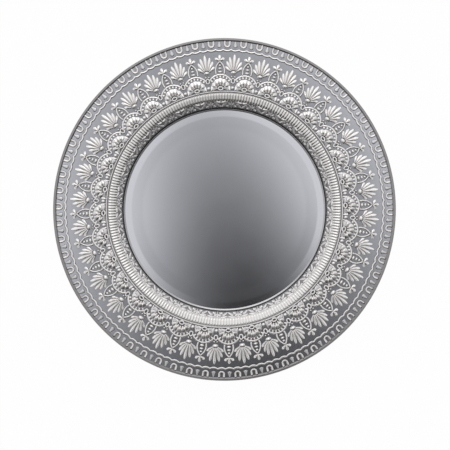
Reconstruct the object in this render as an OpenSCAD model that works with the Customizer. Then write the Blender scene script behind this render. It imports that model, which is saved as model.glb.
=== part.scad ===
// Charger plate: a round show plate with a plain well and a wide rim in relief.
// The plate is a stack of rings round the Z axis, and it stands on its foot ring at Z = 0.
// The rings' widths add up from the well to the lip, to 330 across as it stands.
// The relief is laid on the rings as half-round forms with a flat underside.

/* [Plate] */
// Thickness of the plate's wall
wall_t = 3; // [2:0.1:4]
// Slope of the rim, rising outwards, in degrees
rim_slope = 3; // [1:0.5:8]
// Gap left for the bond under every piece that is laid on the plate
bond_gap = 0.05; // [0.03:0.01:0.1]

/* [Well] */
// Diameter of the well's flat floor
well_d = 196.4; // [185:0.2:205]
// Width of the thin bead round the floor
well_bead_w = 1.2; // [0.8:0.1:1.6]
// Width of the groove left between that bead and the wall of the well
well_groove_w = 1.1; // [0.6:0.1:1.8]
// Depth of the groove, which also seats the bead
well_groove_d = 0.3; // [0.2:0.05:0.6]

/* [Foot] */
// Distance from the edge of the well's floor in to the foot ring
foot_inset = 8; // [5:0.5:20]
// Width of the foot ring
foot_w = 4; // [3:0.5:6]
// Height of the foot ring under the floor
foot_h = 2; // [1.5:0.1:3]

/* [Bands] */
// Width of the sloping inner band, seen from above
band_w = 6.2; // [5:0.1:8]
// Height of the sloping inner band
band_h = 6.5; // [4:0.1:8]
// Width of the ribbed collar, seen from above
collar_w = 9; // [7:0.1:11]
// Height of the ribbed collar
collar_h = 4; // [2.5:0.1:5]
// Width of the main field, seen from above
field_w = 38.5; // [30:0.5:48]
// Width of the plain fillet between the collar and the main field
fillet_w = 1; // [0.7:0.1:1.4]
// Distance from one rib of the collar to the next
rib_pitch = 2.67; // [2.4:0.01:3.2]
// Width of the tongue border between the wave line and the lip
border_w = 8.2; // [7:0.1:10]
// Slope of the tongue border, rising outwards, in degrees
border_slope = 3; // [1:0.5:10]
// Width of the wave line
wave_line_w = 1.3; // [1:0.1:1.6]

/* [Lip] */
// Width of the lip, seen from above
lip_w = 3.6; // [3:0.1:5]
// Height of the lip's crown above the rim
lip_h = 0.9; // [0.6:0.1:1.4]
// How far the rim's edge reaches in under the lip
lip_lap = 1.6; // [1.2:0.1:2]

/* [Pattern] */
// Angle from +Y to the first palmette, clockwise from above, in degrees
first_palmette = 3.8; // [0:0.1:11]
// Width of one repeat over the width of the main field
repeat_share = 0.68; // [0.6:0.01:0.8]

/* [Hidden] */
$fn = 48;
silver = "#b9bbc0";
pale_silver = "#d6d6d8";
dark_silver = "#8f9198";

// Radii of the rings, from the well outwards
well_r = well_d / 2;
collar_in_r = well_r + band_w;
field_in_r = collar_in_r + collar_w;
field_out_r = field_in_r + field_w;
wave_r = field_out_r + wave_line_w;
border_in_r = wave_r + wave_line_w / 2;
lip_in_r = wave_r + border_w;
flange_r = lip_in_r + lip_lap;
plate_r = lip_in_r + lip_w;

// Heights of the rings' top faces
floor_z = foot_h + wall_t;
collar_z = floor_z + band_h;
field_z = collar_z + collar_h;
band_slope = atan2(band_h, band_w);
collar_slope = atan2(collar_h, collar_w);
function rim_z(r) = field_z + (r - field_in_r) * tan(rim_slope);
function border_z(r) = rim_z(border_in_r) + (r - border_in_r) * tan(border_slope);

// Counts of what repeats round the plate
field_mid_r = (field_in_r + field_out_r) / 2;
repeats = round(2 * PI * field_mid_r / (repeat_share * field_w));
repeat_a = 360 / repeats;
tongue_pitch_share = 1.885;
tongues = 2 * round(PI * (wave_r + lip_in_r) / (tongue_pitch_share * border_w) / 2);
tongue_a = 360 / tongues;
ribs = round(PI * (collar_in_r + field_in_r) / rib_pitch);
first_bud = first_palmette + repeat_a / 2;

// Half-round forms: the flat side lies on Z = 0 and the length runs along +Y

// Lays a half turn about Z on its flat side, with its axis along +Y
module lay() rotate([90, 0, 180]) children();

// Keeps the part of a flat outline that is right of its axis
module right_of_axis(l, w) intersection() {
    children();
    square([w, l]);
}

// Leaf with two narrow ends, each cut off just short of its point
leaf_tip_share = 0.02;
leaf_steps = 6;

module leaf(l, w) {
    tip = leaf_tip_share * l;
    arc_r = (l * l + w * w) / (4 * w);
    side = [for (i = [0 : leaf_steps]) let (y = tip + (l - 2 * tip) * i / leaf_steps)
        [sqrt(arc_r * arc_r - (y - l / 2) * (y - l / 2)) + w / 2 - arc_r, y]];
    lay() rotate_extrude(angle = 180) polygon(concat([[0, tip]], side, [[0, l - tip]]));
}

// Drop with a round far end, cut off square at the root
module drop(l, w, root) {
    centre_y = l - w / 2;
    taper = asin(w / 2 / centre_y);
    side = centre_y * cos(taper);
    lay() rotate_extrude(angle = 180) union() {
        right_of_axis(l, w) translate([0, centre_y]) circle(w / 2);
        polygon([[0, root], [root * tan(taper), root],
                 [side * sin(taper), side * cos(taper)], [0, centre_y]]);
    }
}

// Bar with two round ends
module bar(l, w) lay() rotate_extrude(angle = 180) right_of_axis(l, w) union() {
    translate([0, w / 2]) circle(w / 2);
    translate([0, l - w / 2]) circle(w / 2);
    translate([0, w / 2]) square([w / 2, l - w]);
}

// Round bead
module bead(d) rotate_extrude() right_of_axis(d / 2, d / 2) circle(d / 2);

// Upper half of a round section
module half_round(w) intersection() {
    circle(w / 2);
    translate([-w / 2, 0]) square([w, w / 2]);
}

// The same in short flats, for a thin line that runs right round the plate
line_steps = 8;

module half_round_flats(w) polygon([for (i = [0 : line_steps])
    let (a = 180 * i / line_steps) w / 2 * [cos(a), sin(a)]]);

// Half-round strand along an arc about the origin, from angle a0 to a1
module strand(r, w, a0, a1) rotate([0, 0, a0])
    rotate_extrude(angle = a1 - a0) translate([r, 0]) half_round(w);

// Half-round ring about the origin
module ring(r, w) rotate_extrude() translate([r, 0]) half_round(w);

// Short leaf laid across the axis, with its middle on the origin
module crosswise(l, w) rotate([0, 0, -90]) translate([0, -l / 2, 0]) leaf(l, w);

// Places on the rings: +Y runs outwards up the slope and +Z stands off the face

// Repeats a form round the plate, clockwise from the first angle
module around(count, first) for (i = [0 : count - 1])
    rotate([0, 0, -(first + i * 360 / count)]) children();

module on_slope(r, z, slope) translate([0, r, z]) rotate([slope, 0, 0])
    translate([0, 0, bond_gap]) children();

module on_rim(r) on_slope(r, rim_z(r), rim_slope) children();

module on_border(r) on_slope(r, border_z(r), border_slope) children();

// Radius at a share of the main field's width
function field_r(share) = field_in_r + share * field_w;

module on_field(share) on_rim(field_r(share)) children();

// A place on the sloping band, by share of its width and by angle from the row's axis
module on_band(share, a) rotate([0, 0, -a])
    on_slope(well_r + share * band_w, floor_z + share * band_h, band_slope) children();

// Mirrors a form to both sides of its axis
module both_sides() for (side = [0, 1]) mirror([side, 0, 0]) children();

// Plate body: one wall of even thickness, turned from its top outline

// Top outline without the groove, from which the wall's underside is drawn
body_top = [
    [0, floor_z], [well_r, floor_z], [collar_in_r, collar_z], [field_in_r, field_z],
    [border_in_r, rim_z(border_in_r)], [flange_r, border_z(flange_r)]
];
body_last = len(body_top) - 1;

function slope_after(i) = let (d = body_top[i + 1] - body_top[i]) atan2(d.y, d.x);

// A top point's partner under the wall, on the mitre of the two slopes that meet there
function under(i) = let (
    before = i == 0 ? 0 : slope_after(i - 1),
    after = i == body_last ? before : slope_after(i),
    reach = wall_t / cos((after - before) / 2),
    mitre = (before + after) / 2)
    body_top[i] + reach * [i == 0 ? 0 : sin(mitre), -cos(mitre)];

groove_in_r = well_r - well_groove_w - well_bead_w - bond_gap;
groove_z = floor_z - well_groove_d;
groove_outline = [[groove_in_r, floor_z], [groove_in_r, groove_z], [well_r, groove_z]];
foot_out_r = well_r - foot_inset;
foot_in_r = foot_out_r - foot_w;
foot_outline = [[foot_out_r, foot_h], [foot_out_r, 0], [foot_in_r, 0], [foot_in_r, foot_h]];

module plate_body() color(silver) rotate_extrude()
    polygon(concat([body_top[0]], groove_outline, [for (i = [1 : body_last]) body_top[i]],
        [for (i = [body_last : -1 : 1]) under(i)], foot_outline, [under(0)]));

// Lip: a rounded edge moulding that laps over and round the rim's edge

lip_steps = 8;
lip_top_z = border_z(lip_in_r) + lip_h;
lip_foot_z = border_z(flange_r) - wall_t * cos(border_slope);
lip_drop_share = 0.6;

module rim_lip() color(pale_silver) rotate_extrude() polygon(concat(
    [[lip_in_r, border_z(lip_in_r) + bond_gap]],
    [for (i = [0 : lip_steps]) let (a = 90 * i / lip_steps)
        [lip_in_r + lip_h * (1 - cos(a)), lip_top_z - lip_h * (1 - sin(a))]],
    [for (i = [0 : lip_steps]) let (a = 90 * i / lip_steps)
        [plate_r - (lip_w - lip_h) * (1 - sin(a)),
         lip_top_z - (lip_h + wall_t * lip_drop_share) * (1 - cos(a))]],
    [[plate_r, lip_foot_z], [flange_r + wall_t * sin(border_slope) + bond_gap, lip_foot_z],
     [flange_r + bond_gap, border_z(flange_r) + bond_gap]]
));

// Tongue border: U-shaped tongues, open to the lip, with darts between them

tongue_w_share = 0.77;
tongue_line_share = 0.207;
tongue_w = tongue_w_share * border_w;
tongue_line = tongue_line_share * border_w;
tongue_r = (tongue_w - tongue_line) / 2;
tongue_gap_share = 0.3;
tongue_leg = border_w * (1 - tongue_gap_share) - tongue_w / 2;
dart_l_share = 0.7;
dart_w_share = 0.44;

module border_tongues() color(pale_silver) around(tongues, first_palmette + tongue_a / 2)
    on_border(lip_in_r - tongue_leg) translate([0, -bond_gap, 0]) union() {
        strand(tongue_r, tongue_line, 180, 360);
        both_sides() translate([tongue_r, 0, 0]) rotate([-90, 180, 0])
            linear_extrude(tongue_leg) half_round(tongue_line);
    }

module border_darts() color(pale_silver) around(tongues, first_palmette)
    on_border(lip_in_r - bond_gap) rotate([0, 0, 180])
        drop(dart_l_share * border_w, dart_w_share * border_w, bond_gap);

// Wave line: one shallow scallop under each tongue and each dart

scallop_rise_share = 0.75;
scallop_w = 2 * wave_r * tan(tongue_a / 4);
scallop_rise = scallop_rise_share * wave_line_w;
scallop_r = (scallop_w * scallop_w / 4 + scallop_rise * scallop_rise) / (2 * scallop_rise);
// Ends short of the cusp, where the next scallop begins
scallop_a = asin((scallop_w - bond_gap) / 2 / (scallop_r + wave_line_w / 2));

module wave_line() color(pale_silver) around(2 * tongues, first_palmette)
    on_rim(wave_r) translate([0, scallop_r - scallop_rise, 0])
        strand(scallop_r, wave_line_w, 270 - scallop_a, 270 + scallop_a);

// Palmettes: a fan of leaves above a round boss

boss_row_share = 0.484;
boss_w_share = 0.136;
boss_d_share = 0.088;
leaf_l_share = 0.362;
leaf_w_share = 0.056;
leaf_root_share = 0.09;
// Centre leaf first, then each pair outwards
leaf_angles = [0, 15, 31, 52];
leaf_root_angles = [0, 24, 45, 66];
leaf_length_shares = [1, 0.8, 0.6, 0.4];

module palmette_leaf(i) rotate([0, 0, -leaf_root_angles[i]])
    translate([0, leaf_root_share * field_w, 0])
        rotate([0, 0, leaf_root_angles[i] - leaf_angles[i]])
            leaf(leaf_length_shares[i] * leaf_l_share * field_w, leaf_w_share * field_w);

module palmette_leaves() color(pale_silver) around(repeats, first_palmette)
    on_field(boss_row_share) {
        palmette_leaf(0);
        for (i = [1 : len(leaf_angles) - 1]) both_sides() palmette_leaf(i);
    }

module palmette_bosses() color(silver) around(repeats, first_palmette)
    on_field(boss_row_share) crosswise(boss_w_share * field_w, boss_d_share * field_w);

// Buds: a pointed loop with three beads in it and a trefoil on its tip

loop_row_share = 0.526;
loop_half_share = 0.112;
loop_rise_share = 0.227;
loop_drop_share = 0.075;
loop_line_share = 0.043;
loop_half = loop_half_share * field_w;
loop_rise = loop_rise_share * field_w;
loop_line = loop_line_share * field_w;
// Each side is an arc whose centre lies across the axis
loop_r = (loop_half * loop_half + loop_rise * loop_rise) / (2 * loop_half);
loop_foot_a = asin(loop_drop_share * field_w / loop_r);
loop_tip_a = acos((loop_r - loop_half + bond_gap) / (loop_r - loop_line / 2));

module bud_loops() color(pale_silver) around(repeats, first_bud)
    on_field(loop_row_share) both_sides() translate([loop_r - loop_half, 0, 0])
        strand(loop_r, loop_line, 180 - loop_tip_a, 180 + loop_foot_a);

bud_bead_row_shares = [0.5, 0.582, 0.658];
bud_bead_w_shares = [0.115, 0.097, 0.07];
bud_bead_d_share = 0.064;

module bud_beads() color(silver) around(repeats, first_bud)
    for (i = [0 : len(bud_bead_w_shares) - 1])
        on_field(bud_bead_row_shares[i])
            crosswise(bud_bead_w_shares[i] * field_w, bud_bead_d_share * field_w);

trefoil_row_share = 0.782;
knot_share = 0.038;
knot_drop_share = 0.024;
trefoil_tip_share = 0.128;
trefoil_tip_w_share = 0.076;
trefoil_side_share = 0.13;
trefoil_side_w_share = 0.058;
trefoil_root_share = 0.016;
trefoil_side_a = 76;

module bud_trefoils() color(pale_silver) around(repeats, first_bud)
    on_field(trefoil_row_share) {
        translate([0, -knot_drop_share * field_w, 0]) bead(knot_share * field_w);
        drop(trefoil_tip_share * field_w, trefoil_tip_w_share * field_w,
             trefoil_root_share * field_w);
        both_sides() rotate([0, 0, -trefoil_side_a])
            drop(trefoil_side_share * field_w, trefoil_side_w_share * field_w,
                 trefoil_root_share * field_w);
    }

// Scallop shells: a fan of lobes on a ring, under an arch of beads

shell_row_share = 0.106;
lobe_l_share = 0.242;
lobe_w_share = 0.34;
lobe_root_share = 0.062;
// Centre lobe first, then each pair outwards
lobe_angles = [0, 26, 52];
lobe_length_shares = [1, 0.98, 0.95];
hinge_r_share = 0.038;
hinge_line_share = 0.034;
hinge_drop_share = 0.015;
arch_r_share = 0.315;
arch_bead_share = 0.052;
arch_beads_per_side = 5;
arch_step_a = 10.5;

module shell_lobe(i) {
    l = lobe_length_shares[i] * lobe_l_share * field_w;
    rotate([0, 0, -lobe_angles[i]]) drop(l, lobe_w_share * l, lobe_root_share * field_w);
}

module shell_lobes() color(pale_silver) around(repeats, first_bud)
    on_field(shell_row_share) {
        shell_lobe(0);
        for (i = [1 : len(lobe_angles) - 1]) both_sides() shell_lobe(i);
    }

module shell_hinges() color(pale_silver) around(repeats, first_bud)
    on_field(shell_row_share) translate([0, -hinge_drop_share * field_w, 0])
        ring(hinge_r_share * field_w, hinge_line_share * field_w);

module arch_beads() color(pale_silver) around(repeats, first_bud)
    on_field(shell_row_share)
        for (i = [-arch_beads_per_side : arch_beads_per_side])
            rotate([0, 0, i * arch_step_a]) translate([0, arch_r_share * field_w, 0])
                bead(arch_bead_share * field_w);

// Spandrels: beads and leaves that fill the space between two shells

cusp_row_share = 0.346;
cusp_side_share = 0.035;
cusp_bead_share = 0.05;
spandrel_row_share = 0.245;
spandrel_r_share = 0.044;
spandrel_line_share = 0.034;
pearl_row_share = 0.112;
pearl_share = 0.078;
spandrel_leaf_row_share = 0.04;
spandrel_leaf_side_share = 0.058;
spandrel_leaf_l_share = 0.135;
spandrel_leaf_w_share = 0.036;
spandrel_leaf_a = 19;
base_leaf_row_share = 0.046;
base_leaf_side_share = 0.062;
base_leaf_l_share = 0.13;
base_leaf_w_share = 0.036;
base_leaf_a = 80;

module spandrel_beads() color(silver) around(repeats, first_palmette) {
    on_field(cusp_row_share) both_sides()
        translate([cusp_side_share * field_w, 0, 0]) bead(cusp_bead_share * field_w);
    on_field(spandrel_row_share) ring(spandrel_r_share * field_w, spandrel_line_share * field_w);
    on_field(pearl_row_share) bead(pearl_share * field_w);
}

module spandrel_leaves() color(pale_silver) around(repeats, first_palmette)
    on_field(spandrel_leaf_row_share) both_sides()
        translate([spandrel_leaf_side_share * field_w, 0, 0])
            rotate([0, 0, -spandrel_leaf_a])
                leaf(spandrel_leaf_l_share * field_w, spandrel_leaf_w_share * field_w);

module base_leaves() color(pale_silver) around(repeats, first_bud)
    on_field(base_leaf_row_share) both_sides()
        translate([base_leaf_side_share * field_w, 0, 0]) rotate([0, 0, -base_leaf_a])
            leaf(base_leaf_l_share * field_w, base_leaf_w_share * field_w);

// Collar: a plain fillet and a close row of ribs

rib_w_share = 0.76;
rib_l_share = 0.94;

module collar_fillet() color(pale_silver) rotate_extrude()
    translate([field_in_r + fillet_w / 2, rim_z(field_in_r + fillet_w / 2)])
        rotate(rim_slope) translate([0, bond_gap]) half_round_flats(fillet_w);

module collar_ribs() color(pale_silver) around(ribs, first_palmette) {
    slant = collar_w / cos(collar_slope);
    l = rib_l_share * slant;
    on_slope(collar_in_r, collar_z, collar_slope)
        translate([0, (slant - l) / 2, 0]) bar(l, rib_w_share * rib_pitch);
}

// Inner band: crosses under the palmettes, with swags of leaves between them

band_slant = band_w / cos(band_slope);
band_leaf_w_share = 0.15;
band_leaf_w = band_leaf_w_share * band_slant;
cross_row_share = 0.22;
cross_l_share = 0.66;
cross_arm_row_share = 0.58;
cross_arm_l_share = 0.22;
cross_arm_a = 82;
// Leaves of a swag: row and place in the repeat, length over the slant, and lean
swag_row_shares = [0.5, 0.95, 0.37];
swag_place_shares = [0.16, 0.14, 0.37];
swag_length_shares = [0.72, 0.62, 0.36];
swag_leans = [68, 84, 96];

module band_cross() {
    on_band(cross_row_share, 0) leaf(cross_l_share * band_slant, band_leaf_w);
    both_sides() on_band(cross_arm_row_share, 0) rotate([0, 0, -cross_arm_a])
        translate([0, band_leaf_w, 0]) leaf(cross_arm_l_share * band_slant, band_leaf_w);
}

module band_crosses() color(pale_silver) around(repeats, first_palmette) band_cross();

module band_swags() color(pale_silver) around(repeats, first_bud) both_sides()
    for (i = [0 : len(swag_leans) - 1]) {
        l = swag_length_shares[i] * band_slant;
        on_band(swag_row_shares[i], swag_place_shares[i] * repeat_a)
            rotate([0, 0, -swag_leans[i]]) translate([0, -l / 2, 0]) leaf(l, band_leaf_w);
    }

// Well: a thin bead round the floor, a groove away from the wall

well_bead_r = well_r - well_groove_w - well_bead_w / 2;

module well_bead() color(pale_silver) rotate_extrude()
    translate([well_bead_r, groove_z + bond_gap]) half_round_flats(well_bead_w);

plate_body();
rim_lip();
border_tongues();
border_darts();
wave_line();
palmette_leaves();
palmette_bosses();
bud_loops();
bud_beads();
bud_trefoils();
shell_lobes();
shell_hinges();
arch_beads();
spandrel_beads();
spandrel_leaves();
base_leaves();
collar_fillet();
collar_ribs();
band_crosses();
band_swags();
well_bead();
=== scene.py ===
# %% [markdown]
# # A charger plate in relief
# The object is a wide show plate of satin antique silver. A plain well lies in the middle, and the rim
# carries rows of palmettes, buds and shells. It could be sculpted by hand, but the pattern repeats 32
# times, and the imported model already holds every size. So this lesson loads that model, puts softer
# moulded forms in the place of its half-round relief, and adds finish and light.

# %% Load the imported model
import math
import bpy
import numpy as np
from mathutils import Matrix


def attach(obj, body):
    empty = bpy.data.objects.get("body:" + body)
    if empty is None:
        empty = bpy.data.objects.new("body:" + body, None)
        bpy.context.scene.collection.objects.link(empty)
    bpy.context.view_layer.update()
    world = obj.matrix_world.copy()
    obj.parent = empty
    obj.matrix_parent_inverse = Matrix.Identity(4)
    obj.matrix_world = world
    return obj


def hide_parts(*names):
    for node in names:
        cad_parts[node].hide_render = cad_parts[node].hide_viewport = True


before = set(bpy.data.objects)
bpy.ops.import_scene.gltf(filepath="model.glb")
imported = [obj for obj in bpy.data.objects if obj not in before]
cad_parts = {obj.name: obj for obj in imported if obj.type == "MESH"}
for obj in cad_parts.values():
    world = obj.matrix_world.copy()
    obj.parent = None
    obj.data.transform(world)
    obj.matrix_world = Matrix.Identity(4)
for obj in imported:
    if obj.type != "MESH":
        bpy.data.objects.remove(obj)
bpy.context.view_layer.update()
MM = 0.001

# %% [markdown]
# ## The camera
# The photograph looks straight down, with the plate a little above the middle of the picture. A camera
# could be tilted or shifted to frame it. Here it is only moved, because its own axis already points down
# and the plate then stays round. Its lens follows from the plate's radius in the picture.

# %% Camera over the plate
PICTURE_PX = 450
PLATE_R_PX = 171.5
PLATE_R = 165.0
CAMERA_AT = (0.0005, -0.0150, 0.9)
RIM_H = 0.018
SENSOR_W = 36

picture_w = PLATE_R * MM * PICTURE_PX / PLATE_R_PX
camera_data = bpy.data.cameras.new("overhead_camera")
camera_data.sensor_width = SENSOR_W
camera_data.lens = SENSOR_W * (CAMERA_AT[2] - RIM_H) / picture_w
camera = bpy.data.objects.new("overhead_camera", camera_data)
camera.location = CAMERA_AT
bpy.context.collection.objects.link(camera)
bpy.context.scene.camera = camera
print("lens in mm:", round(camera_data.lens, 1))

# %% [markdown]
# ## Shader maths as Python
# A finish is a graph of nodes. It could be drawn by hand in the shader editor, but a graph full of sums is
# slow to draw and to read. So one small class stands for a socket and turns each sum into a Math node. A
# second class holds one material, or the world, and adds every other node.

# %% Sockets that can be added and multiplied
class Value:
    def __init__(self, tree, socket):
        self.tree = tree
        self.socket = socket

    def maths(self, operation, *terms):
        node = self.tree.nodes.new("ShaderNodeMath")
        node.operation = operation
        for socket, term in zip(node.inputs, terms):
            if isinstance(term, Value):
                self.tree.links.new(term.socket, socket)
            else:
                socket.default_value = term
        return Value(self.tree, node.outputs[0])

    def __add__(self, other):
        return self.maths("ADD", self, other)

    def __radd__(self, other):
        return self.maths("ADD", other, self)

    def __sub__(self, other):
        return self.maths("SUBTRACT", self, other)

    def __rsub__(self, other):
        return self.maths("SUBTRACT", other, self)

    def __mul__(self, other):
        return self.maths("MULTIPLY", self, other)

    def __rmul__(self, other):
        return self.maths("MULTIPLY", other, self)

    def __truediv__(self, other):
        return self.maths("DIVIDE", self, other)

    def __rtruediv__(self, other):
        return self.maths("DIVIDE", other, self)

    def __abs__(self):
        return self.maths("ABSOLUTE", self)

    def clipped(self, low=0.0, high=1.0):
        return self.maths("MINIMUM", self.maths("MAXIMUM", self, low), high)


print("a socket now takes + - * / and abs")


# %% One finish and the nodes in it
class Finish:
    def __init__(self, made, output="ShaderNodeOutputMaterial"):
        self.made = made
        self.output = output
        made.use_nodes = True
        self.tree = made.node_tree
        self.tree.nodes.clear()

    def node(self, kind, settings=None, sockets=None, out=0):
        made = self.tree.nodes.new(kind)
        for key, value in (settings or {}).items():
            setattr(made, key, value)
        for key, value in (sockets or {}).items():
            if isinstance(value, Value):
                self.tree.links.new(value.socket, made.inputs[key])
            else:
                made.inputs[key].default_value = value
        return None if out is None else Value(self.tree, made.outputs[out])

    def mixed(self, factor, first, second):
        return self.node("ShaderNodeMix", {"data_type": "RGBA"}, {0: factor, 6: first, 7: second}, 2)

    def surface(self, shader):
        self.node(self.output, None, {"Surface": shader}, None)
        return self.made


print("a finish now takes any node")

# %% [markdown]
# ## Antique silver
# The plate has a satin silver finish that was darkened and then rubbed. Dark wash stays in the corners
# between the ornaments, and the tops are bright. The same dark colour also stands in for the shade that
# falls in those corners, so it is partly painted shade. The corners could be painted by hand. Ambient
# Occlusion is less work, since it measures how open a point is and so finds every corner by itself. Fine
# noise gives the grain of the satin, in colour, in roughness and in a small bump.

# %% Silver with dark wash and painted shade in its corners
# Colour of the dark wash, which also stands in as painted shade in the corners.
WASH_AND_SHADE = (0.045, 0.047, 0.055, 1)
WASH_AND_SHADE_EDGE = 3.4
CORNER_SAMPLES = 8
GRAIN = {"Scale": 1400.0, "Detail": 3.0, "Roughness": 0.6}
CLOUD = {"Scale": 60.0, "Detail": 4.0, "Roughness": 0.55}
DULL, BRIGHT = 0.88, 1.08
GRAIN_TINT = 0.35
GRAIN_ROUGH, CLOUD_ROUGH = 0.04, 0.03
PIT_DEPTH = 0.05


def shade(silver, share):
    return [share * c for c in silver] + [1]


def antique_silver(name, silver, wash_and_shade_below, reach, roughness, pitting=0.03):
    finish = Finish(bpy.data.materials.new(name))
    place = finish.node("ShaderNodeTexCoord", out="Object")
    grain = finish.node("ShaderNodeTexNoise", None, {"Vector": place, **GRAIN})
    cloud = finish.node("ShaderNodeTexNoise", None, {"Vector": place, **CLOUD})
    openness = finish.node("ShaderNodeAmbientOcclusion", {"samples": CORNER_SAMPLES},
                           {"Distance": reach * MM}, "AO")
    # Dark wash and painted shade where a point is closed in by the forms round it.
    wash_and_shade = ((wash_and_shade_below - openness) * WASH_AND_SHADE_EDGE).clipped()
    metal = finish.mixed((grain - 0.5) * GRAIN_TINT + 0.5, shade(silver, DULL), shade(silver, BRIGHT))
    bump = finish.node("ShaderNodeBump", None,
                       {"Strength": pitting, "Distance": PIT_DEPTH * MM, "Height": grain})
    shader = finish.node("ShaderNodeBsdfPrincipled", None, {
        "Base Color": finish.mixed(wash_and_shade, metal, WASH_AND_SHADE),
        "Metallic": 1.0,
        "Roughness": roughness + (cloud - 0.5) * CLOUD_ROUGH + (grain - 0.5) * GRAIN_ROUGH,
        "Normal": bump})
    print(name, "with roughness about", roughness)
    return finish.surface(shader)


print("colour of the wash:", WASH_AND_SHADE[:3])

# %% [markdown]
# ## Eleven kinds of silver
# Hands and polish don't reach every part of a plate alike, so its rings and ornaments differ a little in
# tone and gloss. The near-black silver in the groove round the floor is painted shade, and the worn dark
# silver of the lip and the fine groove outside the collar is partly painted shade. One finish with a mask
# for each place could do it. Separate finishes from one recipe are easier to set against the photograph
# one by one.

# %% The finishes of the plate
# Each has a colour, the openness below which the wash and painted shade stay, the reach in mm within
# which a corner is looked for, a roughness and, on the chased ornaments, a deeper pitting.
CHASED = 0.3
GROUND = antique_silver("satin_ground", (0.45, 0.457, 0.49), 0.8, 2.2, 0.1)
COLLAR = antique_silver("rubbed_collar", (0.74, 0.72, 0.71), 0.5, 1.2, 0.24)
RELIEF = antique_silver("rubbed_relief", (0.82, 0.8, 0.793), 0.6, 1.2, 0.16, CHASED)
DART = antique_silver("dart_silver", (0.56, 0.55, 0.555), 0.68, 1.2, 0.2, CHASED)
# A worn dark silver for the lip and the fine groove outside the collar, darkened further as painted shade.
WORN_AND_SHADED = antique_silver("worn_and_shaded_silver", (0.27, 0.262, 0.262), 0.7, 1.2, 0.26)
LEAF = antique_silver("leaf_silver", (0.78, 0.762, 0.755), 0.55, 1.2, 0.16, CHASED)
BAND = antique_silver("matt_band", (0.45, 0.443, 0.448), 0.88, 1.6, 0.62)
LINE = antique_silver("line_silver", (0.5, 0.494, 0.506), 0.68, 1.2, 0.28)
# Near-black painted shade for the groove round the floor.
GROOVE_SHADE = antique_silver("painted_groove_shade", (0.1, 0.1, 0.11), 0.7, 1.2, 0.35)
SPRAY = antique_silver("matt_spray", (0.92, 0.9, 0.895), 0.6, 1.2, 0.5)
RIB = antique_silver("bright_ribs", (0.82, 0.802, 0.794), 0.5, 1.2, 0.18)

# %% [markdown]
# ## The outline of the plate
# The floor, the inner band, the collar and the rim of the real plate are one pressed or turned shape. It
# could be modelled ring by ring in Edit Mode. A lathe is the natural way: an outline of radius and height
# is rounded at its corners and swept round the axis. The same outline later tells every ornament how high
# the plate is under it. The underside can't be seen, so it is plain, with a foot ring.

# %% Lines with rounded corners
# Points at a distance of GUARD mm from each end of a straight part keep its shading flat.
CORNER_STEPS = 6
GUARD = 0.25


def softened(corners):
    line = [np.array(corners[0][:2])]
    for before, here, after in zip(corners, corners[1:], corners[2:]):
        a, b, c = (np.array(p[:2]) for p in (before, here, after))
        into = (b - a) / np.linalg.norm(b - a)
        away = (c - b) / np.linalg.norm(c - b)
        bend = math.acos(max(-1.0, min(1.0, float(into @ away))))
        trim = here[2] * math.tan(bend / 2)
        start = b - into * trim
        end = b + away * trim
        for k in range(CORNER_STEPS + 1):
            s = k / CORNER_STEPS
            line.append((1 - s) ** 2 * start + 2 * s * (1 - s) * b + s * s * end)
    line.append(np.array(corners[-1][:2]))
    return line


def rounded(corners, spacing=4.0):
    line = softened(corners)
    full = [line[0]]
    for p, q in zip(line, line[1:]):
        gap = np.linalg.norm(q - p)
        if gap > 3 * GUARD:
            inner = np.linspace(GUARD, gap - GUARD, max(2, int(gap / spacing) + 1))
            full += [p + (q - p) * s / gap for s in inner]
        if gap > 1e-6:
            full.append(q)
    return np.array(full)


print("points at a rounded corner:", CORNER_STEPS + 1)

# %% Top and underside
FLOOR_R = 98.4
WELL_R = 99.7
COLLAR_R = 104.0
GROOVE_R = 112.2
FIELD_R = 113.4
BORDER_R = 153.85
LIP_R = 161.4
EDGE_R = 163.0
FLOOR_Z = 5.0
FIELD_Z = 15.76
RIM_SLOPE = 2.7
WALL = 3.0
HOLLOW_Z = FLOOR_Z - WALL
FOOT_IN_R, FOOT_OUT_R = 86.2, 90.2


def rim_z(r):
    return FIELD_Z + (r - FIELD_R) * math.tan(math.radians(RIM_SLOPE))


# Each corner has a radius, a height and a rounding, in mm.
TOP = rounded([
    (0, FLOOR_Z, 0), (80, FLOOR_Z, 900), (91, 5.04, 90), (FLOOR_R, 4.94, 0.15), (WELL_R, 5.9, 0.4),
    (COLLAR_R, 12.4, 1.0), (107.0, 14.5, 3.8), (110.3, 15.5, 6.0), (GROOVE_R, 15.62, 0.2),
    (112.8, 15.42, 0.1), (FIELD_R, rim_z(FIELD_R), 0.3), (BORDER_R, rim_z(BORDER_R), 4.0),
    (EDGE_R, rim_z(EDGE_R), 0)])
UNDER = rounded([
    (EDGE_R, rim_z(EDGE_R), 0), (EDGE_R + 0.1, rim_z(EDGE_R) - WALL, 0.5), (114.1, 12.53, 5.0),
    (106.1, 8.95, 4.0), (99.5, HOLLOW_Z, 2.0), (FOOT_OUT_R, HOLLOW_Z, 0.4), (FOOT_OUT_R, 0, 0.5),
    (FOOT_IN_R, 0, 0.5), (FOOT_IN_R, HOLLOW_Z, 0.4), (0, HOLLOW_Z, 0)])
print("outline points:", len(TOP), "on top,", len(UNDER), "below")

# %% [markdown]
# ## The turned body
# The body carries everything else. Blender's Screw modifier could sweep the outline. Here the rings of
# points are written directly, so that the faces lie in the order of the outline. That makes it easy to
# give each ring its own finish: near-black painted shade in the groove round the floor, matt on the inner
# band, rubbed on the collar, and a worn dark silver that is partly painted shade in the fine groove outside
# it.

# %% A lathe
TURNS = 384


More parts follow.
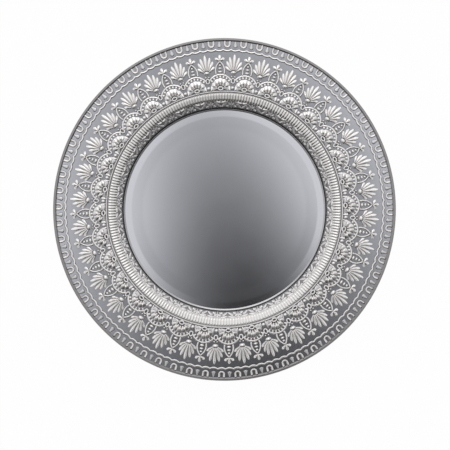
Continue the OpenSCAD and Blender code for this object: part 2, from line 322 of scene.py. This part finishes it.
def mesh_piece(name, verts, faces, material, node):
    mesh = bpy.data.meshes.new(name)
    mesh.from_pydata(verts, [], faces)
    mesh.update()
    mesh.polygons.foreach_set("use_smooth", np.ones(len(mesh.polygons), dtype=bool))
    mesh.materials.append(material)
    piece = bpy.data.objects.new(name, mesh)
    bpy.context.collection.objects.link(piece)
    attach(piece, "root")
    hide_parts(node)
    print(name, "faces:", len(faces))
    return piece


def turned(name, outline, material, node, closed=False):
    angles = np.arange(TURNS) * 2 * np.pi / TURNS
    verts = []
    rings = []
    for r, z in outline:
        if r < 1e-6:
            rings.append([len(verts)] * TURNS)
            verts.append((0, 0, z * MM))
        else:
            rings.append(list(range(len(verts), len(verts) + TURNS)))
            verts += [(r * MM * math.cos(a), r * MM * math.sin(a), z * MM) for a in angles]
    faces = []
    for inner, outer in zip(rings, rings[1:] + rings[:1] if closed else rings[1:]):
        for k in range(TURNS):
            n = (k + 1) % TURNS
            corners = [inner[k], outer[k], outer[n], inner[n]]
            faces.append(list(dict.fromkeys(corners)))
    return mesh_piece(name, verts, faces, material, node)


print("steps round the axis:", TURNS)

# %% The body and the finishes of its rings
ZONES = [(GROOVE_SHADE, FLOOR_R, WELL_R), (BAND, WELL_R, COLLAR_R), (COLLAR, COLLAR_R, GROOVE_R),
         (WORN_AND_SHADED, GROOVE_R, FIELD_R)]


def faces_within(r):
    return int(np.searchsorted(TOP[:, 0], r)) * TURNS


body = turned("plate", np.vstack([TOP, UNDER[1:]]), GROUND, "plate_body")
for zone, (silver, inner_r, outer_r) in enumerate(ZONES, 1):
    body.data.materials.append(silver)
    for face in body.data.polygons[faces_within(inner_r):faces_within(outer_r)]:
        face.material_index = zone
    print(silver.name, "from radius", inner_r, "to", outer_r)

# %% [markdown]
# ## The lip and two thin lines
# The plate ends in a rounded lip, in a worn dark silver that is partly painted shade. A thin line with a
# slanted face runs round the floor, in front of a groove painted dark as shade, and a half-round line runs
# round the outside of the collar. They could be corners of the body's outline, but each has a finish and a
# node of its own. So they are turned like the body, as closed rings.

# %% Lip, well line and collar line
LIP_Z = rim_z(LIP_R)
LIP_BACK_R = 162.6
LIP_LOW_Z = LIP_Z - 2.9
COLLAR_LINE_R = FIELD_R + 0.5
COLLAR_LINE_W = 1.0
ROOT_DEPTH = 0.1
lip = rounded([
    (LIP_BACK_R, LIP_Z - 2.2, 0), (LIP_R + 0.25, LIP_Z - 0.3, 0), (LIP_R + 0.3, LIP_Z + 0.1, 0.1),
    (162.8, LIP_Z + 0.9, 0.6), (164.5, LIP_Z + 0.7, 0.5), (PLATE_R, LIP_Z - 0.4, 0.5),
    (PLATE_R, LIP_LOW_Z, 0.5), (LIP_BACK_R, LIP_LOW_Z, 0)], spacing=1.0)
well_line = rounded([(96.8, 4.8, 0), (96.9, 4.98, 0.05), (98.35, 5.85, 0.12), (98.5, 4.8, 0)], spacing=0.5)


def half_round(r, z, width):
    bends = np.radians(np.linspace(0, 180, 9))
    top = [(r - width / 2 * math.cos(a), z + width / 2 * math.sin(a) ** 0.8) for a in bends]
    return np.array([(r - width / 2, z - ROOT_DEPTH)] + top + [(r + width / 2, z - ROOT_DEPTH)])


collar_line = half_round(COLLAR_LINE_R, rim_z(COLLAR_LINE_R), COLLAR_LINE_W)
# The lip takes the worn dark silver, which is partly painted shade.
turned("lip", lip, WORN_AND_SHADED, "rim_lip", closed=True)
turned("well_line", well_line, LINE, "well_bead", closed=True)
turned("collar_line", collar_line, RELIEF, "collar_fillet", closed=True)
print("lip top in mm:", round(float(lip[:, 1].max()), 2))

# %% [markdown]
# ## Forms in relief
# Every ornament is a ridge or a dome. A ridge follows a path that is drawn flat, seen from above, with a
# width and a height at each point. A dome is an oval swelling. They could be curves with a bevel, or
# sculpted. Drawn flat as points they are easy to check against the photograph, and every crest can be
# sharp or round, upright or leaning.

# %% Ridges
# ACROSS holds the places across a ridge, from -1 at its left edge to 1 at its right edge.
SINK = 0.12
ROUND = 0.7
ACROSS = -np.cos(np.linspace(0, np.pi, 11))


def section(power, lean):
    from_crest = np.where(ACROSS < lean, (ACROSS - lean) / (1 + lean), (ACROSS - lean) / (1 - lean))
    return np.maximum(1 - from_crest ** 2, 0) ** power


def strips(count, closed):
    m = len(ACROSS)
    faces = []
    for i in range(count if closed else count - 1):
        a, b = i * m, (i + 1) % count * m
        faces += [(a + j, a + (j + 1) % m, b + (j + 1) % m, b + j) for j in range(m)]
    return faces


def ridge(path, width, height, closed=False, power=ROUND, lean=0.0):
    path = np.asarray(path, dtype=float)
    count, m = len(path), len(ACROSS)
    width, height, power = (np.broadcast_to(v, count)[:, None] for v in (width, height, power))
    if closed:
        along = np.roll(path, -1, axis=0) - np.roll(path, 1, axis=0)
    else:
        along = np.gradient(path, axis=0)
    along /= np.linalg.norm(along, axis=1)[:, None]
    side = np.stack([along[:, 1], -along[:, 0]], axis=1)
    verts = np.empty((count, m, 3))
    verts[:, :, :2] = path[:, None] + side[:, None] * (width * ACROSS)[:, :, None]
    verts[:, :, 2] = height * section(power, lean)
    verts[:, [0, -1], 2] = -SINK
    faces = strips(count, closed)
    if not closed:
        faces += [tuple(range(m))[::-1], tuple(range((count - 1) * m, count * m))]
    return verts.reshape(-1, 3), faces


print("points across a ridge:", len(ACROSS))

# %% Domes
DOME_RINGS = (1.0, 0.95, 0.82, 0.64, 0.42, 0.2)
DOME_SIDES = 20


def dome(x, r, half_x, half_r, height, power=0.55):
    n = DOME_SIDES
    bends = np.arange(n) * 2 * np.pi / n
    verts = []
    for share in DOME_RINGS:
        level = -SINK if share == 1 else height * (1 - share * share) ** power
        verts += [(x + half_x * share * math.cos(a), r + half_r * share * math.sin(a), level) for a in bends]
    verts.append((x, r, height))
    faces = [tuple(range(n))[::-1]]
    for ring in range(0, (len(DOME_RINGS) - 1) * n, n):
        faces += [(ring + k, ring + (k + 1) % n, ring + n + (k + 1) % n, ring + n + k) for k in range(n)]
    last = (len(DOME_RINGS) - 1) * n
    faces += [(last + k, last + (k + 1) % n, last + n) for k in range(n)]
    return np.array(verts), faces


print("points of a dome:", len(DOME_RINGS) * DOME_SIDES + 1)

# %% [markdown]
# ## Draping and repeating
# The real relief rises from the plate without a step. A Shrinkwrap modifier could press the flat forms on
# it and an Array could repeat them. Here the outline gives the height and the tilt under each point, which
# is exact. A small sink keeps every form seated, and plain turning makes the copies.

# %% Draping forms on the plate
# The tilt under a point is felt FEEL mm inwards and outwards of it.
GROUND_R, GROUND_Z = TOP[:, 0], TOP[:, 1]
FEEL = 0.2


def ground_z(r):
    return np.interp(r, GROUND_R, GROUND_Z)


def draped(flat):
    x, r, h = flat.T
    tilt = np.arctan2(ground_z(r + FEEL) - ground_z(r - FEEL), 2 * FEEL)
    a = x / r
    out = r - h * np.sin(tilt)
    return np.stack([out * np.sin(a), out * np.cos(a), ground_z(r) + h * np.cos(tilt)], axis=1) * MM


print("rim height in mm, inside and at the lip:", round(rim_z(FIELD_R), 2), round(rim_z(LIP_R), 2))


# %% Rows of copies round the plate
def turned_by(points, degrees):
    a = math.radians(degrees)
    c, s = math.cos(a), math.sin(a)
    x, y, z = points.T
    return np.stack([x * c + y * s, y * c - x * s, z], axis=1)


def row(name, forms, count, first, node, material=RELIEF):
    verts = []
    faces = []
    start = 0
    for points, polygons in forms:
        verts.append(draped(points))
        faces += [tuple(start + v for v in polygon) for polygon in polygons]
        start += len(points)
    one = np.vstack(verts)
    every_point = np.vstack([turned_by(one, first + k * 360 / count) for k in range(count)])
    every_face = [tuple(k * start + v for v in polygon) for k in range(count) for polygon in faces]
    return mesh_piece(name, every_point.tolist(), every_face, material, node)


print("finish of a row, if it names no other:", RELIEF.name)

# %% [markdown]
# ## The tongue border
# Inside the lip runs a row of U-shaped tongues, open to the lip, with a drop-shaped dart between each two.
# A wave line closes the border, and its scallops bulge inwards, one for each tongue and each dart. Stamps
# would press such a border on a real plate. Here a tongue and a dart are one ridge each, repeated 64
# times. The wave is one ridge that runs right round, because copies of a scallop would show seams.

# %% Tongues
PALMETTE_A = 3.8
TONGUES = 64
TONGUE_A = PALMETTE_A + 360 / TONGUES / 2
TONGUE_HALF = 2.3
TONGUE_OPEN_R, TONGUE_BEND_R = LIP_R + 0.4, 158.85


def tongue():
    legs = np.linspace(TONGUE_OPEN_R, TONGUE_BEND_R, 6)[:-1]
    bends = np.radians(np.linspace(180, 360, 17))
    path = [(-TONGUE_HALF, r) for r in legs]
    path += [(TONGUE_HALF * math.cos(a), TONGUE_BEND_R + TONGUE_HALF * math.sin(a)) for a in bends]
    path += [(TONGUE_HALF, r) for r in legs[::-1]]
    return ridge(path, width=1.2, height=1.0, lean=0.45)


row("tongues", [tongue()], TONGUES, TONGUE_A, "border_tongues", material=COLLAR)

# %% Darts
DART_R = LIP_R + 0.3
DART_LENGTH = 5.9
DART_NECK, DART_SWELL = 0.8, 2.0
DART_NECK_H, DART_RISE = 0.3, 0.75
DART_END, DART_END_LENGTH = 0.7, 0.302


def dart():
    t = np.linspace(0, 1, 14)
    path = np.stack([0 * t, DART_R - DART_LENGTH * t], axis=1)
    end = np.sqrt(np.clip(1 - ((t - DART_END) / DART_END_LENGTH).clip(0) ** 2, 0.01, 1))
    width = (DART_NECK + DART_SWELL * t ** 1.1) * end
    return ridge(path, width, DART_NECK_H + DART_RISE * t ** 0.7)


row("darts", [dart()], TONGUES, PALMETTE_A, "border_darts", material=DART)

# %% Wave line
WAVE_R = 153.9
SCALLOPS = 128
SCALLOP_STEPS = 10
SCALLOP_DEPTH = 1.15
WAVE_HALF, WAVE_H, WAVE_LEAN = 1.15, 1.05, 0.4


def wave():
    spots = np.arange(SCALLOPS * SCALLOP_STEPS) / SCALLOP_STEPS
    dip = 1 - (2 * (spots % 1) - 1) ** 2
    angles = np.radians(PALMETTE_A) + (spots - 0.5) * 2 * np.pi / SCALLOPS
    radius = (WAVE_R - SCALLOP_DEPTH * dip)[:, None] - WAVE_HALF * ACROSS
    level = np.broadcast_to(WAVE_H * section(ROUND, WAVE_LEAN), radius.shape).copy()
    level[:, [0, -1]] = -SINK
    points = np.stack([angles[:, None] * radius, radius, level], axis=2).reshape(-1, 3)
    return points, strips(len(spots), closed=True)


row("wave", [wave()], 1, 0, "wave_line")

# %% [markdown]
# ## Palmettes
# A palmette is a fan of seven petals over a boss. Each petal starts narrow, swells past its middle and
# ends in a soft point, and its back is highest near the root, so that the tips sink into the ground. A
# petal could be modelled once and bent by hand. As a ridge with a few measures it serves for every leaf
# of the plate.

# %% A petal, and its mirror image
# The shares are measured along the petal, from its root at 0 to its tip at 1.
WIDEST_AT = 0.65
POINT_AT, POINT_LENGTH = 0.62, 0.385
ROOT_H, HUMP = 0.7, 0.3
HUMP_END = 2 / 3
TIP_FALL = 0.93
TIP_ROUNDING = 0.65


def petal(root, tip, half, height, curl=0.0, crest=1.1, lean=0.0, stem=0.5):
    s = np.linspace(0, 1, 16)
    root, tip = np.array(root), np.array(tip)
    ahead = tip - root
    aside = np.array([ahead[1], -ahead[0]])
    path = root + ahead * s[:, None] + aside * (curl * (s ** 2 - s))[:, None]
    swell = stem + (1 - stem) * np.sin(np.pi / 2 * s / WIDEST_AT) ** 1.2
    point = np.sqrt(np.clip(1 - ((s - POINT_AT) / POINT_LENGTH).clip(0) ** 2, 0.003, 1))
    hump = ROOT_H + HUMP * np.sin(np.pi * np.clip(s / HUMP_END, 0, 1))
    back = height * hump * (1 - TIP_FALL * s ** 1.2)
    return ridge(path, half * swell * point, back, power=crest * (1 - TIP_ROUNDING * s), lean=lean)


def both(form):
    points, polygons = form
    return [form, (points * np.array([-1, 1, 1]), [polygon[::-1] for polygon in polygons])]


print("points of a petal:", len(petal((0, 0), (0, 1), 1, 1)[0]))

# %% Palmettes and bosses
# Each petal has a root and a tip, measured aside and outwards from the boss, and half a width, in mm.
REPEATS = 32
BOSS_R = 132.0
FAN = [((0.0, 1.8), (0.0, 17.7), 1.7), ((0.9, 1.9), (4.7, 14.9), 1.6),
       ((1.6, 1.6), (7.3, 10.8), 1.55), ((2.2, 0.9), (8.3, 5.7), 1.4)]
FAN_H = 1.8
FAN_CURL = -0.015


def fan_petal(root, tip, half):
    middle = np.array([0, BOSS_R])
    return petal(middle + root, middle + tip, half, FAN_H, curl=FAN_CURL * tip[0], crest=1.4, stem=0.6)


petals = [fan_petal(*FAN[0])] + [form for spec in FAN[1:] for form in both(fan_petal(*spec))]
row("palmettes", petals, REPEATS, PALMETTE_A, "palmette_leaves", material=LEAF)
boss = dome(0, BOSS_R, half_x=3.1, half_r=2.3, height=1.8, power=0.8)
row("bosses", [boss], REPEATS, PALMETTE_A, "palmette_bosses")

# %% [markdown]
# ## Buds
# Between the palmettes stands a pointed loop of two strands with three oval beads in it, and a trefoil
# grows from its tip. The loop could follow a drawn curve. Its strands are arcs whose centres lie across
# the axis, as in a pointed arch, so a width and a height are all that it needs.

# %% Loops
BUD_A = PALMETTE_A + 360 / REPEATS / 2
LOOP_R = 133.65
LOOP_HALF, LOOP_RISE = 4.3, 8.74
LOOP_START, LOOP_GAP = 197.5, 1.5


def loop_strand():
    arc_r = (LOOP_HALF ** 2 + LOOP_RISE ** 2) / (2 * LOOP_HALF)
    top = 180 - math.degrees(math.acos((arc_r - LOOP_HALF) / arc_r))
    sweep = np.radians(np.linspace(LOOP_START, top + LOOP_GAP, 22))
    path = np.stack([arc_r - LOOP_HALF + arc_r * np.cos(sweep), LOOP_R + arc_r * np.sin(sweep)], axis=1)
    return ridge(path, width=1.0, height=1.05)


row("bud_loop", both(loop_strand()), REPEATS, BUD_A, "bud_loops", material=LEAF)

# %% Beads and trefoils
# A bead has a radius on the plate, half its width and length, and a height, in mm.
OVALS = [(132.65, 2.25, 1.3, 1.15), (135.8, 1.9, 1.2, 1.05), (138.75, 1.4, 1.15, 0.95)]
TREFOIL_R = 143.2
trefoil = [dome(0, TREFOIL_R - 0.8, half_x=0.9, half_r=0.9, height=0.95)]
trefoil.append(petal((0, TREFOIL_R), (0, 149.0), half=1.6, height=1.3))
trefoil += both(petal((0.4, TREFOIL_R), (4.9, 145.4), half=1.5, height=1.25, curl=0.25))
row("bud_ovals", [dome(0, *oval) for oval in OVALS], REPEATS, BUD_A, "bud_beads")
row("bud_tips", trefoil, REPEATS, BUD_A, "bud_trefoils", material=LEAF)

# %% [markdown]
# ## Scallop shells
# Under each bud a shell fans out from a small ring, below a corded arch. Five separate lobes could stand
# side by side, but the real shell is one swelling. So it is drawn as a fan of points whose height falls
# into a groove between two lobes. The grooves are deep slits near the root and close up towards the
# scalloped edge, and the shell slopes down evenly from its crest to that edge.

# %% Crest and slits of a shell
# The shares are measured outwards, from the root at 0 to the scalloped edge at 1.
SHELL_H = 2.0
SHELL_CREST = 0.64
SHELL_FALL = 0.92
SLIT_END, SLIT_CLOSING, SLIT_CLOSED = 0.55, 0.2, 0.75


def shell_level(out, lobe):
    if out < SHELL_CREST:
        swell = (out / SHELL_CREST) ** 0.8
    else:
        swell = 1 - SHELL_FALL * ((out - SHELL_CREST) / (1 - SHELL_CREST)) ** 1.1
    closing = max(0, min(1, (out - SLIT_END) / SLIT_CLOSING))
    slit = 1 - SLIT_CLOSED * closing
    return SHELL_H * swell * (1 - slit * (1 - lobe) ** 1.2)


print("crest of a shell in mm:", float(shell_level(SHELL_CREST, lobe=1.0)))

# %% Shells
# A lobe has the angle of its middle and half the angle that it fills.
SHELL_R = 117.5
SHELL_ROOT = 115.4
SHELL_EDGE = 9.5
SHELL_FAN = 67.0
SHELL_STEPS = np.concatenate([[0.37, 0.38], np.linspace(0.41, 0.9, 14), [0.95, 0.985, 1.0]])
LOBES = ((0, 13.5), (26, 13), (-26, 13), (55, 12), (-55, 12))
EDGE_NOTCH = 0.07


def shell_faces(n, rings):
    faces = []
    for i in range(0, (rings - 1) * n, n):
        faces += [(i + j, i + j + 1, i + n + j + 1, i + n + j) for j in range(n - 1)]
    last = (rings - 1) * n
    under = list(range(n)) + [i * n + n - 1 for i in range(1, rings)]
    under += [last + j for j in range(n - 2, -1, -1)] + [i * n for i in range(rings - 2, 0, -1)]
    return faces + [tuple(under)]


def shell():
    turns = np.linspace(-SHELL_FAN, SHELL_FAN, 91)
    lobe = np.max([np.cos(np.clip((turns - c) / w, -1, 1) * np.pi / 2) for c, w in LOBES], axis=0)
    a = np.radians(turns)
    drop = SHELL_R - SHELL_ROOT
    reach = drop * np.cos(a) + np.sqrt(SHELL_EDGE ** 2 - (drop * np.sin(a)) ** 2)
    reach = reach * (1 - EDGE_NOTCH + EDGE_NOTCH * lobe ** 0.5)
    verts = []
    for out in SHELL_STEPS:
        level = shell_level(out, lobe)
        level[[0, -1]] = -SINK
        verts.append(np.stack([reach * out * np.sin(a), SHELL_ROOT + reach * out * np.cos(a), level], axis=1))
    verts[0][:, 2] = -SINK
    verts[-1][:, 2] = -SINK
    return np.vstack(verts), shell_faces(len(turns), len(SHELL_STEPS))


row("shells", [shell()], REPEATS, BUD_A, "shell_lobes")

# %% Rings and corded arches
ARCH_R = 12.6
ARCH_FAN = 57.5
CORDS, CORD_FAN, CORD_ROOT = 7, 51, 9.4
LOOP_SIDES = 28


def loop(x, r, half_x, half_r, width, height):
    a = np.arange(LOOP_SIDES) * 2 * np.pi / LOOP_SIDES
    path = np.stack([x + half_x * np.cos(a), r + half_r * np.sin(a)], axis=1)
    return ridge(path[::-1], width, height, closed=True)


def corded_arch():
    turns = np.radians(np.linspace(-ARCH_FAN, ARCH_FAN, 41))
    path = np.stack([ARCH_R * np.sin(turns), SHELL_R + ARCH_R * np.cos(turns)], axis=1)
    forms = [ridge(path, width=1.1, height=1.1, lean=0.5)]
    for a in np.radians(np.linspace(-CORD_FAN, CORD_FAN, CORDS)):
        way = np.array([math.sin(a), math.cos(a)])
        root, tip = ((0, SHELL_R) + out * way for out in (CORD_ROOT, ARCH_R))
        forms.append(petal(root, tip, half=0.9, height=0.4, crest=0.4))
    return forms


shell_ring = loop(0, 116.7, half_x=2.2, half_r=1.5, width=1.0, height=1.3)
row("shell_rings", [shell_ring], REPEATS, BUD_A, "shell_hinges")
row("arch_cord", corded_arch(), REPEATS, BUD_A, "arch_beads")

# %% [markdown]
# ## Spandrels
# Two pearls, a ring, a larger pearl and two sprigs fill the space between two shells, and two broad leaves
# lie along the foot of each shell. They could be new forms, but at this size they look like the ones
# above, so the same petals, loops and domes serve again.

# %% Pearls, rings and small leaves
spandrel = both(dome(1.5, 127.9, half_x=0.95, half_r=0.95, height=0.9))
spandrel.append(loop(0, 124.0, half_x=1.6, half_r=2.3, width=0.9, height=1.1))
spandrel.append(dome(0, 117.3, half_x=1.9, half_r=2.0, height=1.4, power=0.7))
sprig = petal((2.3, 114.7), (4.0, 120.0), half=1.3, height=0.8, crest=0.7)
shell_leaf = petal((2.4, 116.2), (8.9, 117.0), half=1.9, height=1.6, crest=1.0, lean=-0.7)
row("spandrels", spandrel, REPEATS, PALMETTE_A, "spandrel_beads")
row("spandrel_sprigs", both(sprig), REPEATS, PALMETTE_A, "spandrel_leaves")
row("shell_leaves", both(shell_leaf), REPEATS, BUD_A, "base_leaves", material=DART)

# %% [markdown]
# ## Collar and inner band
# The collar is a close row of ribs over a swelling edge. Below it, on the steep inner band, small crosses
# stand under the palmettes, with swags of leaves between them. The ribs could be a bump in the finish, but
# only real forms catch the light on their sides. So each rib is a low ridge.

# %% Ribs
RIBS = 256
RIB_START_R = COLLAR_R + 0.3
RIB_END_R = 112.4
RIB_HALF, RIB_H, RIB_SHARP = 1.3, 0.55, 1.5


def rib():
    s = np.linspace(0, 1, 16)
    path = np.stack([0 * s, RIB_START_R + (RIB_END_R - RIB_START_R) * s], axis=1)
    ends = np.sqrt(np.clip(1 - np.abs(2 * s - 1) ** 10, 0.02, 1))
    return ridge(path, RIB_HALF * ends, RIB_H * ends, power=RIB_SHARP)


row("ribs", [rib()], RIBS, PALMETTE_A, "collar_ribs", material=RIB)

# %% Crosses and swags
# Each leaf has a root and a tip, aside and by radius, half a width and a height, in mm.
SWAG = [((0.2, 100.5), (5.6, 102.9), 1.05, 1.25), ((0.3, 104.0), (6.8, 104.5), 1.0, 1.2),
        ((5.0, 100.9), (8.5, 100.8), 1.0, 1.1)]
cross = [petal((0, 99.9), (0, 105.0), half=1.1, height=1.3)]
cross += both(petal((0.6, 102.3), (3.6, 103.1), half=1.0, height=1.2))
swag = [form for leaf in SWAG for form in both(petal(*leaf))]
row("crosses", cross, REPEATS, PALMETTE_A, "band_crosses", material=SPRAY)
row("swags", swag, REPEATS, BUD_A, "band_swags", material=SPRAY)

# %% [markdown]
# ## The floor
# The plate lies on plain white. A white material alone would turn grey in soft light, and more light would
# wash out the silver. So the floor mostly glows for the camera and in mirrors and glass, and is a matt
# white for all other light. A little of the matt white stays, and it keeps the plate's shadow.

# %% White floor
FLOOR_REACH = 3
FLOOR_GLOW = 0.97
FLOOR_DROP = 0.1
WHITE = (1, 1, 1, 1)
MATT_WHITE = (0.9, 0.9, 0.9, 1)
floor_finish = Finish(bpy.data.materials.new("white_floor"))
seen, in_mirror, in_glass = (floor_finish.node("ShaderNodeLightPath", out=ray)
                             for ray in ("Is Camera Ray", "Is Glossy Ray", "Is Transmission Ray"))
glow = floor_finish.node("ShaderNodeEmission", None, {"Color": WHITE, "Strength": 1.0})
matt = floor_finish.node("ShaderNodeBsdfDiffuse", None, {"Color": MATT_WHITE})
share = (seen + in_mirror + in_glass).clipped() * FLOOR_GLOW
white = floor_finish.node("ShaderNodeMixShader", None, {0: share, 1: matt, 2: glow})
floor_corners = [(x * FLOOR_REACH, y * FLOOR_REACH, 0) for x, y in ((-1, -1), (1, -1), (1, 1), (-1, 1))]
floor_mesh = bpy.data.meshes.new("floor")
floor_mesh.from_pydata(floor_corners, [], [(0, 1, 2, 3)])
floor_mesh.materials.append(floor_finish.surface(white))
floor = bpy.data.objects.new("floor", floor_mesh)
floor.location.z = -FLOOR_DROP * MM
bpy.context.collection.objects.link(floor)
print("floor in m:", 2 * FLOOR_REACH)

# %% [markdown]
# ## The studio
# Satin silver shows its surroundings as broad soft tones, so the room matters as much as the finish. Many
# lamps could light it, but each would show as a spot in the metal. Here the world is a tent of white
# cloth with a dark opening overhead, where the camera looks in. The opening gives the floor of the well
# its grey. It reaches down and widens on the near side, so that side of the plate is the darkest. The low
# walls are brightest on the far side, with a dark wedge on the near one. One weak soft box, also on the
# far side, gives the light a direction.

# %% Far soft box
def soft_box(name, place, size, power):
    lamp = bpy.data.lights.new(name, "AREA")
    lamp.shape = "RECTANGLE"
    lamp.size, lamp.size_y = size
    lamp.energy = power
    box = bpy.data.objects.new(name, lamp)
    box.location = place
    aim = -np.array(place) / np.linalg.norm(place)
    box.rotation_euler = (math.acos(-aim[2]), 0, math.atan2(-aim[0], aim[1]))
    bpy.context.collection.objects.link(box)
    print(name, "watts:", power)


soft_box("far_box", place=(-0.2, 1.2, 1.1), size=(1.2, 0.5), power=2.0)

# %% Roof of the tent
# x, y and z are the parts of a direction. The opening is drawn on a flat sheet overhead.
LOWEST = 0.05
EDGE_SOFT = 3.0
OPEN_LEVEL, OPEN_SLOPE, OPEN_LENGTH, OPEN_WIDTH = 0.17, 2.6, 7.0, 74.0
OPEN_SKEW, OPEN_SHIFT, OPEN_WIDENING = 0.22, 0.0075, 2.5
ROOF_LOW, ROOF_RISE = 0.5, 0.8
NEAR_SHADE = 0.3
FLANK_FROM, FLANK_SHADE = 0.15, 0.2


def tent_roof(x, y, z):
    height = z.clipped(LOWEST)
    along = y / height
    widening = 1.0 + OPEN_WIDENING * (along * -1.0).clipped()
    across = (x / height + OPEN_SKEW * along - OPEN_SHIFT) / widening
    cloth = OPEN_LEVEL + OPEN_SLOPE * along + OPEN_LENGTH * along * along + OPEN_WIDTH * across * across
    near = (y * -EDGE_SOFT).clipped()
    flank = ((abs(x) - FLANK_FROM) * EDGE_SOFT).clipped()
    rise = ROOF_LOW + ROOF_RISE * z * z
    return cloth.clipped() * rise * (1.0 - NEAR_SHADE * near) * (1.0 - FLANK_SHADE * flank)


print("light in the middle of the opening:", OPEN_LEVEL)

# %% Sides of the tent, and the whole of it
SIDE_LEVEL, SIDE_FAR, SIDE_RIGHT = 0.6, 0.9, -0.22
SIDE_DARKEST, SIDE_BRIGHTEST = 0.1, 0.86
WEDGE_FROM, WEDGE_TAPER, WEDGE_SHADE = -0.15, 0.8, 0.8
EAVES, EAVES_SOFT = 0.6, 7.0


def tent_sides(x, y):
    cloth = (SIDE_LEVEL + SIDE_FAR * y + SIDE_RIGHT * x).clipped(SIDE_DARKEST, SIDE_BRIGHTEST)
    wedge = ((WEDGE_FROM - y - WEDGE_TAPER * abs(x)) * EDGE_SOFT).clipped()
    return cloth * (1.0 - WEDGE_SHADE * wedge)


def light_tent():
    tent = Finish(bpy.data.worlds.new("light_tent"), "ShaderNodeOutputWorld")
    way = tent.node("ShaderNodeTexCoord", out="Generated")
    x, y, z = (tent.node("ShaderNodeSeparateXYZ", None, {0: way}, axis) for axis in range(3))
    upper = ((z - EAVES) * EAVES_SOFT).clipped()
    level = LOWEST + upper * tent_roof(x, y, z) + (1.0 - upper) * tent_sides(x, y)
    to_camera = tent.node("ShaderNodeLightPath", out="Is Camera Ray")
    strength = level * (1.0 - to_camera) + to_camera
    return tent.surface(tent.node("ShaderNodeBackground", None, {"Color": WHITE, "Strength": strength}))


bpy.context.scene.world = light_tent()
bpy.context.scene.view_settings.view_transform = "Standard"
print("nodes of the tent:", len(bpy.context.scene.world.node_tree.nodes))
